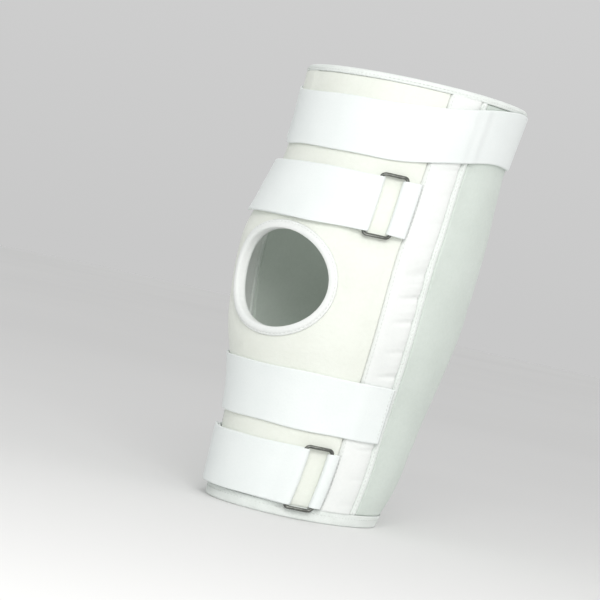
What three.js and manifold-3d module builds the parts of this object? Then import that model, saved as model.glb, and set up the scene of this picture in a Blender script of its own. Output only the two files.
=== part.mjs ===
// A knee immobilizer, closed and fastened, standing on its lower hem.
// Millimetres, +Z up. The front, with the knee hole, faces -Y. The two rings are on the +X side.
import * as THREE from 'three';
import { mergeVertices } from 'three/addons/utils/BufferGeometryUtils.js';
import Module from 'manifold-3d';

// The sleeve
const LENGTH = 356;
const KNEE_WIDTH = 180; // outside, across the knee
const KNEE_DEPTH = 194; // outside, front to back at the knee
const SQUARENESS = 2.15; // exponent of the oval section, 2 is an ellipse
const WALL = 6; // padded foam between two cloths
const HEM_HEIGHT = 9;
const TOP_BINDING_HEIGHT = 4.5;
const BINDING_RAISE = 0.5; // how far the rim tapes stand proud of the foam
const FRONT_SHARE = 0.31; // front panel's share of the half girth

// The stay pockets and the tapes behind them
const POCKET_WIDTH = 30;
const POCKET_RAISE = 2.6;
const POCKET_EDGE = 0.8; // raise of the pocket's sewn edges
const PUCKER_PITCH = 21;
const PUCKER_DEPTH = 1.3;
const TAPE_WIDTH = 7;
const TAPE_RAISE = 1.4;

// The knee hole
const HOLE_WIDTH = 98; // along the skin: the closed straps stretch it sideways
const HOLE_TALL = 78;
const HOLE_SHIFT = -3; // of its centre from the front line, along the skin
const HOLE_LIP = 1.6; // binding that lines the cut edge
const HOLE_BAND = 7; // binding that lies on the panel
const HOLE_RAISE = 2.2;
const HOLE_TO_STRAP = 3.2;
const CUT_OUTSIDE = 5; // how far the cut for the hole reaches past the panel's faces
const CUT_INSIDE = 1;

// The straps
const STRAP_WIDTH = 45;
const STRAP_THICKNESS = 2;
const STRAP_RISE = 17; // how far the uppermost strap climbs towards the back
const RISE_FROM = 0.15; // shares of the half girth between which it climbs
const RISE_TO = 0.62;
const SEWN_BEHIND = 20; // from the rear tape to the start of the uppermost strap
const LAP_SHORT = 8; // from the pocket's front edge to a lapped strap end
const HOOK_LENGTH = 55; // end of the upper calf strap, on the back panel

// The rings and their tabs
const WIRE = 2.8;
const RING_WIDTH = 20; // between the centres of the two long sides
const RING_CORNER = 3;
const RING_END_GAP = 0.8; // between a strap's edge and the ring's short side
const THIGH_RING_BEFORE_POCKET = 23; // from the ring's centre to the pocket's edge
const CALF_RING_BEFORE_POCKET = 17;

// Clearances
const GAP = 0.3; // between pieces that meet
const CLEAR = 0.5; // between layers that lie on each other

// Outer form of the sleeve: a row for each height, up as a share of LENGTH, side as a share of half
// KNEE_WIDTH, front and back as shares of half KNEE_DEPTH. The thigh leans back over the calf.
const SECTIONS = [
  { up: 0.0, side: 0.725, front: 0.697, back: 0.765 },
  { up: 0.1, side: 0.772, front: 0.661, back: 0.905 },
  { up: 0.25, side: 0.822, front: 0.655, back: 1.028 },
  { up: 0.42, side: 0.962, front: 0.761, back: 1.165 },
  { up: 0.6, side: 1.008, front: 0.762, back: 1.263 },
  { up: 0.69, side: 0.968, front: 0.645, back: 1.325 },
  { up: 0.8, side: 0.914, front: 0.506, back: 1.384 },
  { up: 1.0, side: 0.955, front: 0.422, back: 1.548 },
];

// Centre heights of the straps, as shares of LENGTH
const STRAP_HEIGHTS = { thighUpper: 0.875, thighLower: 0.71, calfUpper: 0.257, calfLower: 0.093 };

// Steps of the facets
const ROW_STEP = 17;
const COLUMN_STEP = 12.5;
const STRAP_STEP = 11.5;
const STRAP_ROWS = 3;
const RIM_STEPS = 44;
const HOLE_STEPS = 36;
const FOLD_STEPS = 6;
const WIRE_SIDES = 6;
const CORNER_STEPS = 3;
const GIRTH_SAMPLES = 360;

const TURN = 2 * Math.PI;

// Evenly spaced values from one number to another, both included
function steps(from, to, count) {
  return Array.from({ length: count + 1 }, (_, i) => from + ((to - from) * i) / count);
}

// Evenly spaced values no further apart than a step
function spaced(from, to, step) {
  return steps(from, to, Math.max(1, Math.ceil(Math.abs(to - from) / step)));
}

// Slope of a table's column at a row, from the rows on either side
function slope(row, column) {
  const before = SECTIONS[Math.max(row - 1, 0)];
  const after = SECTIONS[Math.min(row + 1, SECTIONS.length - 1)];
  return (after[column] - before[column]) / (after.up - before.up);
}

// Share read from the section table on a smooth curve through its rows
function share(column, height) {
  const up = THREE.MathUtils.clamp(height / LENGTH, 0, 1);
  const row = Math.max(0, SECTIONS.findLastIndex((s) => s.up < up));
  const a = SECTIONS[row];
  const b = SECTIONS[row + 1];
  const run = b.up - a.up;
  const t = (up - a.up) / run;
  const rise = b[column] - a[column];
  const start = slope(row, column) * run;
  const end = slope(row + 1, column) * run;
  return a[column] + t * (start + t * (3 * rise - 2 * start - end + t * (start + end - 2 * rise)));
}

// Sine or cosine bent from an ellipse to the squarer oval of the sleeve
function squared(value) {
  return Math.sign(value) * Math.abs(value) ** (2 / SQUARENESS);
}

// Point of the sleeve's outer skin at an angle from the front, towards +X, and a height
function skin(angle, height) {
  const width = (share('side', height) * KNEE_WIDTH) / 2;
  const front = (share('front', height) * KNEE_DEPTH) / 2;
  const back = (share('back', height) * KNEE_DEPTH) / 2;
  return new THREE.Vector3(
    width * squared(Math.sin(angle)),
    (back - front) / 2 - ((back + front) / 2) * squared(Math.cos(angle)),
    height,
  );
}

// Distances round the sleeve at a height, sampled by angle
const girths = new Map();
function roundSection(height) {
  const key = height.toFixed(3);
  if (!girths.has(key)) {
    const points = steps(0, TURN, GIRTH_SAMPLES).map((angle) => skin(angle, height));
    const arcs = [0];
    for (let i = 1; i <= GIRTH_SAMPLES; i += 1) {
      arcs.push(arcs[i - 1] + points[i].distanceTo(points[i - 1]));
    }
    girths.set(key, arcs);
  }
  return girths.get(key);
}

function girth(height) {
  return roundSection(height)[GIRTH_SAMPLES];
}

// Point at a distance round the sleeve from the front line, a height, and a distance out of the skin
function place(arc, height, out) {
  const arcs = roundSection(height);
  const whole = arcs[GIRTH_SAMPLES];
  const wrapped = ((arc % whole) + whole) % whole;
  const i = Math.min(arcs.findLastIndex((a) => a <= wrapped), GIRTH_SAMPLES - 1);
  const angle = ((i + (wrapped - arcs[i]) / (arcs[i + 1] - arcs[i])) * TURN) / GIRTH_SAMPLES;
  const nudge = TURN / GIRTH_SAMPLES;
  const along = skin(angle + nudge, height).sub(skin(angle - nudge, height));
  const outward = new THREE.Vector3(along.y, -along.x, 0).normalize();
  return skin(angle, height).addScaledVector(outward, out);
}

// Lines that run up the sleeve, as distances from the front line
const pocketFront = (height) => (FRONT_SHARE * girth(height)) / 2;
const pocketRear = (height) => pocketFront(height) + POCKET_WIDTH;
const tapeRear = (height) => pocketRear(height) + TAPE_WIDTH;

// Closed solid through a row of outlines. Each outline is a loop of points whose first half faces
// its second half across the wall. A closed row joins its last outline to its first.
function loft(outlines, closed = false) {
  const n = outlines[0].length;
  const positions = outlines.flat().flatMap((point) => point.toArray());
  const index = [];
  const quad = (a, b, c, d) => index.push(a, b, c, a, c, d);
  const spans = closed ? outlines.length : outlines.length - 1;
  for (let row = 0; row < spans; row += 1) {
    const here = row * n;
    const next = ((row + 1) % outlines.length) * n;
    for (let i = 0; i < n; i += 1) {
      const j = (i + 1) % n;
      quad(here + i, here + j, next + j, next + i);
    }
  }
  if (!closed) {
    const last = (outlines.length - 1) * n;
    for (let i = 0; i < n / 2 - 1; i += 1) {
      const across = n - 1 - i;
      quad(i, across, across - 1, i + 1);
      quad(last + i, last + i + 1, last + across - 1, last + across);
    }
  }
  const geometry = new THREE.BufferGeometry();
  geometry.setAttribute('position', new THREE.Float32BufferAttribute(positions, 3));
  geometry.setIndex(volume(positions, index) > 0 ? index : index.reverse());
  return geometry;
}

// Volume that a set of triangles encloses, negative when they face inwards
function volume(positions, index) {
  const corner = (i) => new THREE.Vector3().fromArray(positions, index[i] * 3);
  let sum = 0;
  for (let i = 0; i < index.length; i += 3) {
    sum += corner(i).dot(corner(i + 1).cross(corner(i + 2))) / 6;
  }
  return sum;
}

const wasm = await Module();
wasm.setup();

function toManifold(geometry) {
  const merged = mergeVertices(geometry);
  return new wasm.Manifold(new wasm.Mesh({
    numProp: 3,
    vertProperties: new Float32Array(merged.attributes.position.array),
    triVerts: new Uint32Array(merged.index.array),
  }));
}

// First solid with the second cut out of it
function cut(geometry, cutter) {
  const mesh = toManifold(geometry).subtract(toManifold(cutter)).getMesh();
  const result = new THREE.BufferGeometry();
  result.setAttribute('position', new THREE.Float32BufferAttribute(mesh.vertProperties, 3));
  result.setIndex([...mesh.triVerts]);
  return result;
}

const brace = new THREE.Group();

function add(name, geometry, look) {
  geometry.computeVertexNormals();
  const mesh = new THREE.Mesh(geometry, new THREE.MeshStandardMaterial(look));
  mesh.name = name;
  brace.add(mesh);
}

const FOAM_CLOTH = { color: 0xf3f0e2, roughness: 0.95, metalness: 0 };
const BACK_CLOTH = { color: 0xdfe5dd, roughness: 0.95, metalness: 0 };
const TAPE_CLOTH = { color: 0xf4f7f2, roughness: 0.85, metalness: 0 };
const STRAP_CLOTH = { color: 0xfbfcfb, roughness: 0.9, metalness: 0 };
const RING_METAL = { color: 0x6f716b, roughness: 0.35, metalness: 1 };

// Shell: walls between two lines that run up the sleeve
const PANEL_HEIGHTS = spaced(HEM_HEIGHT + GAP, LENGTH - TOP_BINDING_HEIGHT - GAP, ROW_STEP);

function wall(from, to, heights, columns, outer) {
  return loft(heights.map((height) => {
    const arcs = steps(from(height), to(height), columns);
    return [
      ...arcs.map((arc) => place(arc, height, outer(arc, height))),
      ...arcs.toReversed().map((arc) => place(arc, height, -WALL)),
    ];
  }));
}

const flush = () => 0;

// Straps' places, and the knee hole that sits close under the lower thigh strap
const strapBottom = (name) => STRAP_HEIGHTS[name] * LENGTH - STRAP_WIDTH / 2;
const HOLE_HEIGHT = strapBottom('thighLower') - HOLE_TO_STRAP - HOLE_BAND - HOLE_TALL / 2;

// Point round the oval knee hole, at a distance beyond its edge and out of the skin
function aroundHole(angle, beyond, out) {
  const across = (HOLE_WIDTH / 2 + beyond) * Math.sin(angle);
  const up = (HOLE_TALL / 2 + beyond) * Math.cos(angle);
  return place(HOLE_SHIFT + across, HOLE_HEIGHT + up, out);
}

function holeCutter() {
  const beyond = HOLE_LIP + GAP;
  const angles = steps(0, TURN, HOLE_STEPS).slice(0, -1);
  return loft(angles.map((angle) => [
    aroundHole(angle, beyond, CUT_OUTSIDE),
    aroundHole(angle, beyond, -WALL - CUT_INSIDE),
    place(HOLE_SHIFT, HOLE_HEIGHT, -WALL - CUT_INSIDE),
    place(HOLE_SHIFT, HOLE_HEIGHT, CUT_OUTSIDE),
  ]), true);
}

const frontColumns = Math.ceil((2 * pocketFront(LENGTH / 2)) / COLUMN_STEP);
const frontWall = wall(
  (height) => GAP - pocketFront(height),
  (height) => pocketFront(height) - GAP,
  PANEL_HEIGHTS,
  frontColumns,
  flush,
);
add('front_panel', cut(frontWall, holeCutter()), FOAM_CLOTH);

const backColumns = Math.ceil((girth(LENGTH / 2) - 2 * tapeRear(LENGTH / 2)) / COLUMN_STEP);
add('back_panel', wall(
  (height) => tapeRear(height) + GAP,
  (height) => girth(height) - tapeRear(height) - GAP,
  PANEL_HEIGHTS,
  backColumns,
  flush,
), BACK_CLOTH);

// Binding of the knee hole: a lip through the wall and a raised band on the panel
const HOLE_PROFILE = [
  [0, -WALL],
  [0, HOLE_RAISE * 0.6],
  [HOLE_BAND * 0.25, CLEAR + HOLE_RAISE],
  [HOLE_BAND * 0.75, CLEAR + HOLE_RAISE],
  [HOLE_BAND, CLEAR + HOLE_RAISE * 0.5],
  [HOLE_BAND, CLEAR],
  [HOLE_LIP, CLEAR],
  [HOLE_LIP, -WALL],
];
const holeRing = steps(0, TURN, HOLE_STEPS).slice(0, -1).map((angle) => (
  HOLE_PROFILE.map(([beyond, out]) => aroundHole(angle, beyond, out))
));
add('knee_hole_binding', loft(holeRing, true), TAPE_CLOTH);

// Stay pockets: crowned across, dented where the cloth puckers along the rear seam
const PUCKER_ROWS = [-0.2, 0, 0.2];
const FIRST_PUCKER = HEM_HEIGHT + PUCKER_PITCH / 2;
const PUCKERS = Math.floor((LENGTH - TOP_BINDING_HEIGHT - FIRST_PUCKER) / PUCKER_PITCH);
const POCKET_HEIGHTS = [
  PANEL_HEIGHTS[0],
  ...steps(0, PUCKERS, PUCKERS).flatMap((pucker) => (
    PUCKER_ROWS.map((row) => FIRST_PUCKER + (pucker + row) * PUCKER_PITCH)
  )).filter((height) => height < PANEL_HEIGHTS.at(-1) - 1),
  PANEL_HEIGHTS.at(-1),
];
const POCKET_COLUMNS = 4;

function pocketCrown(arc, height) {
  const across = (Math.abs(arc) - pocketFront(height)) / POCKET_WIDTH;
  const crown = 1 - Math.abs(2 * across - 1) ** 3;
  const beat = Math.cos(((height - FIRST_PUCKER) * TURN) / PUCKER_PITCH);
  const dent = beat > 0 ? PUCKER_DEPTH * beat ** 6 * across : 0;
  return POCKET_EDGE + (POCKET_RAISE - POCKET_EDGE - dent) * crown;
}

const POCKET_LINES = {
  right: [pocketFront, pocketRear],
  left: [(height) => -pocketRear(height), (height) => -pocketFront(height)],
};
const TAPE_LINES = {
  right: [(height) => pocketRear(height) + GAP, tapeRear],
  left: [(height) => -tapeRear(height), (height) => -pocketRear(height) - GAP],
};
for (const side of ['right', 'left']) {
  const [front, rear] = POCKET_LINES[side];
  add(`stay_pocket_${side}`, wall(front, rear, POCKET_HEIGHTS, POCKET_COLUMNS, pocketCrown), TAPE_CLOTH);
  const [start, end] = TAPE_LINES[side];
  add(`seam_tape_${side}`, wall(start, end, PANEL_HEIGHTS, 2, () => TAPE_RAISE), TAPE_CLOTH);
}

// Rim tapes: a closed profile carried round the sleeve. The hem is flat below, to stand on.
function rim(profile) {
  const turns = steps(0, 1, RIM_STEPS).slice(0, -1);
  return loft(turns.map((turn) => (
    profile.map(([out, height]) => place(turn * girth(height), height, out))
  )), true);
}

const RIM_IN = -WALL - BINDING_RAISE;
const RIM_ROUND = 1.5;
const TOP_BINDING_BOTTOM = LENGTH - TOP_BINDING_HEIGHT;
add('hem', rim([
  [RIM_IN + RIM_ROUND, 0],
  [BINDING_RAISE - RIM_ROUND, 0],
  [BINDING_RAISE, RIM_ROUND],
  [BINDING_RAISE, HEM_HEIGHT],
  [RIM_IN, HEM_HEIGHT],
  [RIM_IN, RIM_ROUND],
]), TAPE_CLOTH);
add('top_binding', rim([
  [RIM_IN, TOP_BINDING_BOTTOM],
  [BINDING_RAISE, TOP_BINDING_BOTTOM],
  [BINDING_RAISE, LENGTH - RIM_ROUND],
  [BINDING_RAISE - RIM_ROUND, LENGTH],
  [RIM_IN + RIM_ROUND, LENGTH],
  [RIM_IN, LENGTH - RIM_ROUND],
]), TAPE_CLOTH);

// Straps: a flat band whose centre line, seen from above, is a list of stations, each a distance
// round the sleeve and a distance out of the skin. The stretches between stations are straight
// round the sleeve, and each is cut into a number of steps.
function stepCounts(stations) {
  return stations.slice(1).map(([arc], i) => (
    Math.max(1, Math.ceil(Math.abs(arc - stations[i][0]) / STRAP_STEP))
  ));
}

function alongStations(stations, counts) {
  const line = [new THREE.Vector2(...stations[0])];
  counts.forEach((count, i) => {
    const from = new THREE.Vector2(...stations[i]);
    const to = new THREE.Vector2(...stations[i + 1]);
    line.push(...steps(0, 1, count).slice(1).map((t) => from.clone().lerp(to, t)));
  });
  return line;
}

// Line moved sideways by half the strap's thickness
function offsetLine(line, distance) {
  return line.map((point, i) => {
    const ahead = line[Math.min(i + 1, line.length - 1)];
    const behind = line[Math.max(i - 1, 0)];
    const along = new THREE.Vector2().subVectors(ahead, behind).normalize();
    return new THREE.Vector2(point.x - along.y * distance, point.y + along.x * distance);
  });
}

const level = () => 0;

// Strap whose stations may change with the height, lifted by a rise that follows the arc
function band(stationsAt, bottom, rise = level) {
  const counts = stepCounts(stationsAt(bottom + STRAP_WIDTH / 2));
  return loft(steps(bottom, bottom + STRAP_WIDTH, STRAP_ROWS).map((height) => {
    const line = alongStations(stationsAt(height), counts);
    const upper = offsetLine(line, STRAP_THICKNESS / 2);
    const lower = offsetLine(line, -STRAP_THICKNESS / 2);
    return [...upper, ...lower.toReversed()].map((point) => (
      place(point.x, height + rise(point.x, height), point.y)
    ));
  }));
}

// What a strap climbs where it crosses a pocket and its tape, from the front line backwards
const FIRST_LAYER = CLEAR + STRAP_THICKNESS / 2;
const LAYER = STRAP_THICKNESS + CLEAR;
const RAMP = 8;
const EDGE_CLIMB = 1.4;
const CREST = POCKET_RAISE + GAP;
const TAPE_CREST = TAPE_RAISE + GAP;
function overPocket(height, layer) {
  const front = pocketFront(height);
  const rear = pocketRear(height);
  const behind = tapeRear(height);
  return [
    [front - RAMP, layer],
    [front - 1, layer + EDGE_CLIMB],
    [front + RAMP / 2, layer + CREST],
    [rear - RAMP / 2, layer + CREST],
    [rear + 1, layer + TAPE_CREST],
    [behind + 1, layer + TAPE_CREST],
    [behind + RAMP, layer],
  ];
}

// Same stations on the other side, read from the back forwards
const mirrored = (stations) => stations.toReversed().map(([arc, out]) => [-arc, out]);

// Stations up to the crest of the pocket, then the end sewn into its rear seam
function ontoPocket(height, layer) {
  return [...overPocket(height, layer).slice(0, 4), [pocketRear(height) - GAP, layer + CREST]];
}

// Uppermost strap: right round the sleeve, its end lapped over its start on the left side
const riseAt = (arc, height) => {
  const turn = arc / girth(height);
  const fromFront = Math.abs(turn - Math.round(turn)) * 2;
  return STRAP_RISE * THREE.MathUtils.smoothstep(fromFront, RISE_FROM, RISE_TO);
};
add('thigh_strap_upper', band((height) => {
  const whole = girth(height);
  const start = -tapeRear(height) - SEWN_BEHIND;
  const over = mirrored(overPocket(height, FIRST_LAYER + LAYER));
  return [
    [start, FIRST_LAYER],
    ...mirrored(overPocket(height, FIRST_LAYER)),
    ...overPocket(height, FIRST_LAYER),
    [whole + start - 2 * RAMP, FIRST_LAYER],
    [whole + start - 2, FIRST_LAYER + LAYER],
    ...over.slice(0, 4).map(([arc, out]) => [whole + arc, out]),
    [whole - pocketFront(height) - LAP_SHORT, FIRST_LAYER + LAYER + CREST],
  ];
}, strapBottom('thighUpper'), riseAt), STRAP_CLOTH);

// Upper calf strap: from the right pocket's rear seam, across the front, pressed on the back panel
add('calf_strap_upper', band((height) => [
  [-tapeRear(height) - HOOK_LENGTH, FIRST_LAYER],
  ...mirrored(overPocket(height, FIRST_LAYER)),
  ...ontoPocket(height, FIRST_LAYER),
], strapBottom('calfUpper')), STRAP_CLOTH);

// Rings: each long side lies in the fold of a strap or a tab
const FOLD_RADIUS = WIRE / 2 + CLEAR + STRAP_THICKNESS / 2;
const BAR_OUT = FIRST_LAYER + FOLD_RADIUS;
const RING_HALF_HEIGHT = STRAP_WIDTH / 2 + RING_END_GAP + WIRE / 2;

// Half turn round a ring's long side, from under it to over it, on the side that faces the opening
function foldRound(arc, towards) {
  return steps(-TURN / 4, TURN / 4, FOLD_STEPS).map((turn) => [
    arc + towards * FOLD_RADIUS * Math.cos(turn),
    BAR_OUT + FOLD_RADIUS * Math.sin(turn),
  ]);
}

// Centre line of the ring's wire: a rectangle with rounded corners
function ringOutline() {
  const x = RING_WIDTH / 2;
  const y = RING_HALF_HEIGHT;
  const corners = [[x, -y, 0.75], [x, y, 0], [-x, y, 0.25], [-x, -y, 0.5]];
  return corners.flatMap(([cx, cy, turn]) => (
    steps(turn * TURN, (turn + 0.25) * TURN, CORNER_STEPS).map((angle) => new THREE.Vector2(
      cx - Math.sign(cx) * RING_CORNER + RING_CORNER * Math.cos(angle),
      cy - Math.sign(cy) * RING_CORNER + RING_CORNER * Math.sin(angle),
    ))
  ));
}

function ring(beforePocket, centre) {
  const outline = ringOutline();
  const wire = outline.flatMap((point, i) => {
    const next = outline[(i + 1) % outline.length];
    const count = Math.max(1, Math.round(point.distanceTo(next) / STRAP_STEP));
    return steps(0, 1, count).slice(0, -1).map((t) => point.clone().lerp(next, t));
  });
  return loft(wire.map((point, i) => {
    const ahead = wire[(i + 1) % wire.length];
    const behind = wire[(i + wire.length - 1) % wire.length];
    const along = new THREE.Vector2().subVectors(ahead, behind).normalize();
    return steps(0, TURN, WIRE_SIDES).slice(0, -1).map((turn) => {
      const beside = (WIRE / 2) * Math.cos(turn);
      const height = centre + point.y - along.x * beside;
      const arc = pocketFront(height) - beforePocket + point.x + along.y * beside;
      return place(arc, height, BAR_OUT + (WIRE / 2) * Math.sin(turn));
    });
  }), true);
}

// A strap that is sewn in on the left, runs through its ring and folds back on itself
function ringStrap(beforePocket) {
  return (height) => {
    const side = pocketFront(height) - beforePocket - RING_WIDTH / 2;
    const under = mirrored(ontoPocket(height, FIRST_LAYER));
    const back = overPocket(height, FIRST_LAYER + LAYER).slice(0, 3);
    return [
      ...under,
      ...foldRound(side, 1),
      [side - RING_WIDTH * 0.7, FIRST_LAYER + LAYER],
      ...back.map(([arc, out]) => [-arc, out]),
      [-pocketFront(height) - LAP_SHORT, FIRST_LAYER + LAYER + CREST],
    ];
  };
}

// A tab that is sewn in at the pocket's front edge and folded round the ring's other side
function ringTab(beforePocket) {
  return (height) => {
    const edge = pocketFront(height) - GAP;
    const side = pocketFront(height) - beforePocket + RING_WIDTH / 2;
    return [
      [edge, FIRST_LAYER],
      ...foldRound(side, -1),
      [edge, FIRST_LAYER + LAYER],
    ];
  };
}

const RINGS = [
  { part: 'thigh', strap: 'thigh_strap_lower', at: 'thighLower', beforePocket: THIGH_RING_BEFORE_POCKET },
  { part: 'calf', strap: 'calf_strap_lower', at: 'calfLower', beforePocket: CALF_RING_BEFORE_POCKET },
];
for (const { part, strap, at, beforePocket } of RINGS) {
  const bottom = strapBottom(at);
  add(strap, band(ringStrap(beforePocket), bottom), STRAP_CLOTH);
  add(`${part}_ring_tab`, band(ringTab(beforePocket), bottom), STRAP_CLOTH);
  add(`${part}_ring`, ring(beforePocket, bottom + STRAP_WIDTH / 2), RING_METAL);
}

// The origin is under the middle of the whole brace, on the surface that it stands on
const box = new THREE.Box3().setFromObject(brace);
const middle = box.getCenter(new THREE.Vector3());
brace.position.set(-middle.x, -middle.y, -box.min.z);

export default brace;
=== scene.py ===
import math

import bmesh
import bpy
import numpy as np
from mathutils import Matrix, Vector


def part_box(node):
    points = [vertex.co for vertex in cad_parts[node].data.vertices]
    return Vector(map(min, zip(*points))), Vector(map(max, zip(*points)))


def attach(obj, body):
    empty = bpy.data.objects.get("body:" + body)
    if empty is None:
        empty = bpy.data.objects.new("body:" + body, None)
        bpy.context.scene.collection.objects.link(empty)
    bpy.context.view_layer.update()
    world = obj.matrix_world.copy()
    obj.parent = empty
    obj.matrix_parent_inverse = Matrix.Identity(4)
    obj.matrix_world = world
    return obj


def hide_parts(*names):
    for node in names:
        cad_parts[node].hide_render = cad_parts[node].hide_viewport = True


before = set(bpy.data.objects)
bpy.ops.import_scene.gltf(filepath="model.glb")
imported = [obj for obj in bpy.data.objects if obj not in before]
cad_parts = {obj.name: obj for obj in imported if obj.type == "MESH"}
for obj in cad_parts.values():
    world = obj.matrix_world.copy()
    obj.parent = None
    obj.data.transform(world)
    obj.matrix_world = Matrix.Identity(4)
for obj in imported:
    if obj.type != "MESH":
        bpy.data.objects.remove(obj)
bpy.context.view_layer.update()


# Front panel. A sheet of 6 mm foam between two brushed cloths, pale ivory outside, with the knee hole
# cut through it. It is sewn into the stay pockets and the rim tapes, so the cloth is drawn down at
# its edges and under the straps, and swells between them.
SLEEVE_LENGTH = 0.356
KNEE_WIDTH = 0.180
KNEE_DEPTH = 0.194
SQUARENESS = 2.15
FOAM = 0.006
FRONT_SHARE = 0.31
SEAM_GAP = 0.0003

# Form of the sleeve: up as a share of its length, side as a share of half the knee's width, front and
# back as shares of half the knee's depth
SECTIONS = np.array(
    [
        (0.00, 0.725, 0.697, 0.765),
        (0.10, 0.772, 0.661, 0.905),
        (0.25, 0.822, 0.655, 1.028),
        (0.42, 0.962, 0.761, 1.165),
        (0.60, 1.008, 0.762, 1.263),
        (0.69, 0.968, 0.645, 1.325),
        (0.80, 0.914, 0.506, 1.384),
        (1.00, 0.955, 0.422, 1.548),
    ],
    dtype=[(name, float) for name in ("up", "side", "front", "back")],
)

hem_low, hem_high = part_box("hem")
HEM_RAISE = 0.0005
AXIS_X = (hem_low.x + hem_high.x) / 2
AXIS_Y = hem_low.y + HEM_RAISE + SECTIONS["front"][0] * KNEE_DEPTH / 2


def share(column, height):
    """Column of the section table at a height: a cubic between rows, whose slope at each row is
    that of the straight line from the row before it to the row after it."""
    up, value = SECTIONS["up"], SECTIONS[column]
    before = np.maximum(np.arange(len(up)) - 1, 0)
    after = np.minimum(np.arange(len(up)) + 1, len(up) - 1)
    slope = (value[after] - value[before]) / (up[after] - up[before])
    at = np.clip(np.asarray(height) / SLEEVE_LENGTH, 0, 1)
    row = np.clip(np.searchsorted(up, at, side="right") - 1, 0, len(up) - 2)
    run = up[row + 1] - up[row]
    t = (at - up[row]) / run
    rise = value[row + 1] - value[row]
    start, end = slope[row] * run, slope[row + 1] * run
    return value[row] + t * (start + t * (3 * rise - 2 * start - end + t * (start + end - 2 * rise)))


def oval(angle, height):
    """Point of the sleeve's skin and its outward direction. The section is a superellipse: sine and
    cosine of the angle raised to 2 / squareness, times the half width and the half depth. The
    outward direction is its gradient, level with the floor."""
    half_width = share("side", height) * KNEE_WIDTH / 2
    front = share("front", height) * KNEE_DEPTH / 2
    back = share("back", height) * KNEE_DEPTH / 2
    half_depth = (front + back) / 2
    sine, cosine = np.sin(angle), np.cos(angle)
    across = np.sign(sine) * np.abs(sine) ** (2 / SQUARENESS)
    along = -np.sign(cosine) * np.abs(cosine) ** (2 / SQUARENESS)
    point = np.stack(
        np.broadcast_arrays(
            AXIS_X + half_width * across, AXIS_Y + (back - front) / 2 + half_depth * along, height
        ),
        -1,
    )
    power = SQUARENESS - 1
    gradient_x = np.sign(across) * np.abs(across) ** power / half_width
    gradient_y = np.sign(along) * np.abs(along) ** power / half_depth
    length = np.hypot(gradient_x, gradient_y)
    outward = np.stack(np.broadcast_arrays(gradient_x / length, gradient_y / length, 0 * length), -1)
    return point, outward


# Distance round the sleeve, tabled by height and angle, and the angle tabled by height and share of
# the girth
LEVELS = np.linspace(0, SLEEVE_LENGTH, 120)
TURNS = np.linspace(0, 2 * np.pi, 721)
ring_points, _ = oval(TURNS[None, :], LEVELS[:, None])
ring_steps = np.linalg.norm(np.diff(ring_points, axis=1), axis=-1)
ROUND = np.concatenate([np.zeros((len(LEVELS), 1)), np.cumsum(ring_steps, axis=1)], axis=1)
GIRTH_SHARES = np.linspace(0, 1, 721)
ANGLES = np.stack([np.interp(GIRTH_SHARES, row / row[-1], TURNS) for row in ROUND])


def girth(height):
    """Length round the skin at a height."""
    return np.interp(height, LEVELS, ROUND[:, -1])


def skin(arc, height, out):
    """Point at a distance round the sleeve from the front line, at a height, and at a distance out
    of the skin. The angle is read between the four nearest entries of its table."""
    arc, height, out = np.broadcast_arrays(arc, height, out)
    turn = np.mod(arc / girth(height), 1.0) * (len(GIRTH_SHARES) - 1)
    level = np.clip(height / SLEEVE_LENGTH, 0, 1) * (len(LEVELS) - 1)
    column = np.minimum(turn.astype(int), len(GIRTH_SHARES) - 2)
    row = np.minimum(level.astype(int), len(LEVELS) - 2)
    across, up = turn - column, level - row
    lower = ANGLES[row, column] * (1 - across) + ANGLES[row, column + 1] * across
    upper = ANGLES[row + 1, column] * (1 - across) + ANGLES[row + 1, column + 1] * across
    point, outward = oval(lower * (1 - up) + upper * up, height)
    return point + outward * out[..., None]


def pocket_front(height):
    """Front edge of the stay pocket: a fixed share of the half girth from the front line."""
    return FRONT_SHARE * girth(height) / 2


def grid_faces(rows, columns, wrap_rows=False, wrap_columns=False, first=0):
    """Quads of a grid of vertices that are numbered row by row."""
    row = np.arange(rows if wrap_rows else rows - 1)[:, None]
    column = np.arange(columns if wrap_columns else columns - 1)[None, :]
    next_row, next_column = (row + 1) % rows, (column + 1) % columns
    corners = [
        row * columns + column,
        row * columns + next_column,
        next_row * columns + next_column,
        next_row * columns + column,
    ]
    return first + np.stack(np.broadcast_arrays(*corners), -1).reshape(-1, 4)


WELD = 1e-6


def new_mesh(name, points, faces):
    """Mesh from an array of points and one of faces, each a row of point numbers."""
    mesh = bpy.data.meshes.new(name)
    mesh.from_pydata(points.reshape(-1, 3).tolist(), [], faces.tolist())
    return mesh


def face_outwards(mesh, weld=0.0):
    """Turns all faces outwards, after points that are closer than weld are merged."""
    shell = bmesh.new()
    shell.from_mesh(mesh)
    if weld:
        bmesh.ops.remove_doubles(shell, verts=shell.verts, dist=weld)
        bmesh.ops.dissolve_degenerate(shell, edges=shell.edges, dist=weld / 1000)
    bmesh.ops.recalc_face_normals(shell, faces=shell.faces)
    shell.to_mesh(mesh)
    shell.free()


def new_object(name, data):
    """Object in the scene for a mesh, a camera or a lamp."""
    item = bpy.data.objects.new(name, data)
    bpy.context.scene.collection.objects.link(item)
    return item


def make_piece(name, points, faces, chart, node=None):
    """Smooth piece from an array of points and quads, with a map in metres of distance round the
    sleeve and height. Points that coincide are welded, which closes seams and rims."""
    mesh = new_mesh(name, points, faces)
    layer = mesh.uv_layers.new(name="cloth_map")
    layer.data.foreach_set("uv", chart.reshape(-1, 2)[faces.reshape(-1)].astype(np.float32).ravel())
    face_outwards(mesh, WELD)
    mesh.polygons.foreach_set("use_smooth", np.ones(len(mesh.polygons), bool))
    piece = new_object(name, mesh)
    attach(piece, "root")
    if node:
        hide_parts(node)
    return piece


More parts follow.
